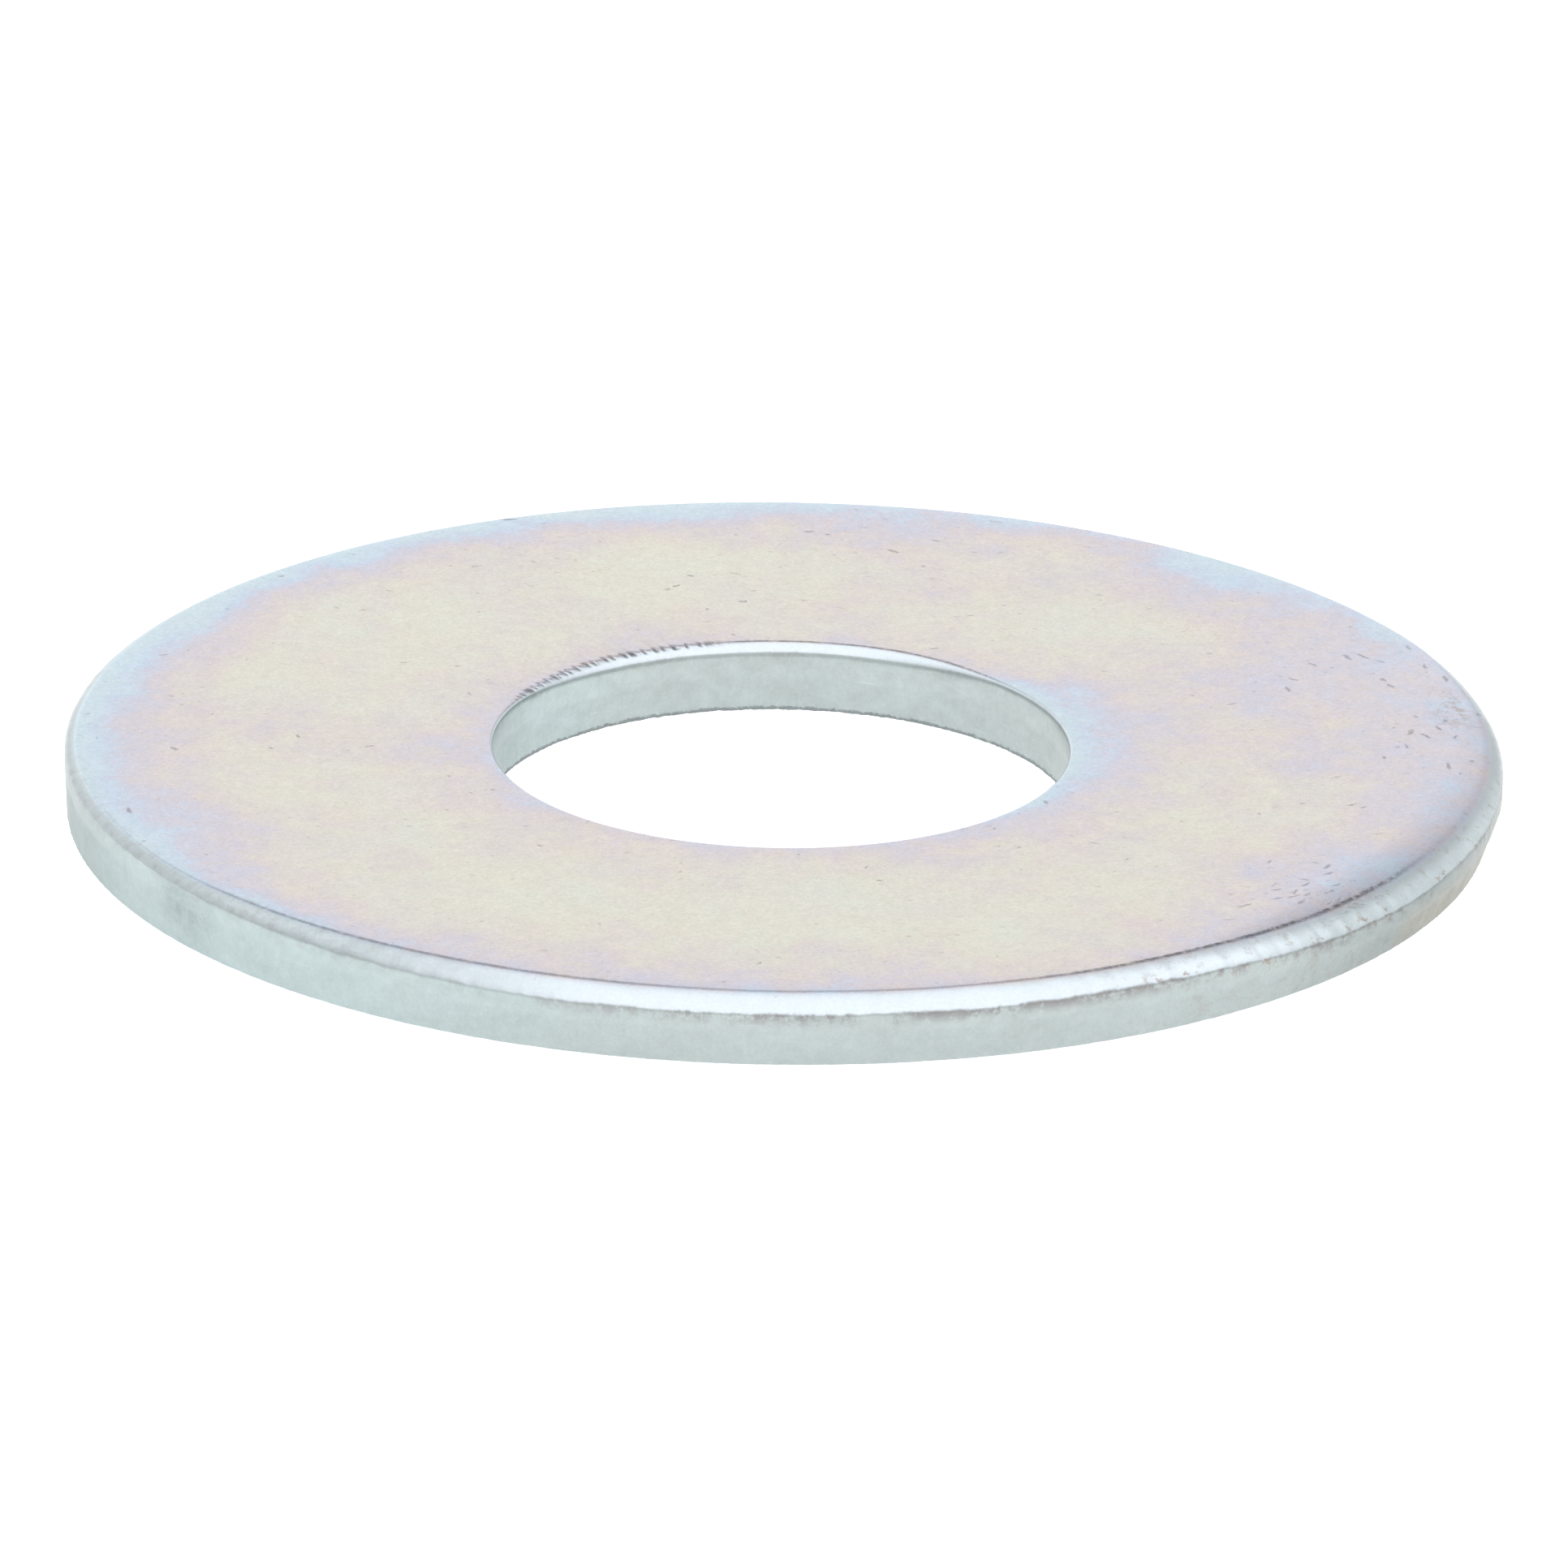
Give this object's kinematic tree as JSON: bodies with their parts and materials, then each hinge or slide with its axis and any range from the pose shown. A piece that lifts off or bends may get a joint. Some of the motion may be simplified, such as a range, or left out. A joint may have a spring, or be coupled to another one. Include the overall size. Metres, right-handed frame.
{
  "type": "flat washer",
  "caption": "Round flat washer of thin zinc-plated steel, one inch across, with a bore for a 3/8 inch bolt, rolled top edges and sharp bottom edges.",
  "frame": {"origin": "centre of the bore at the bottom bearing face, the face with the sharp cut edges", "axes": "+Z along the bore's axis, out of the top bearing face with the rolled edges; X and Y lie in the washer's plane"},
  "size_m": [0.0254, 0.0254, 0.0012],
  "materials": {
    "zinc_plated_steel": "satin bright zinc plate with a clear passivate that shows faint blue, pink and straw tints"
  },
  "bodies": {
    "root": {"washer": "zinc_plated_steel"}
  },
  "joints": []
}
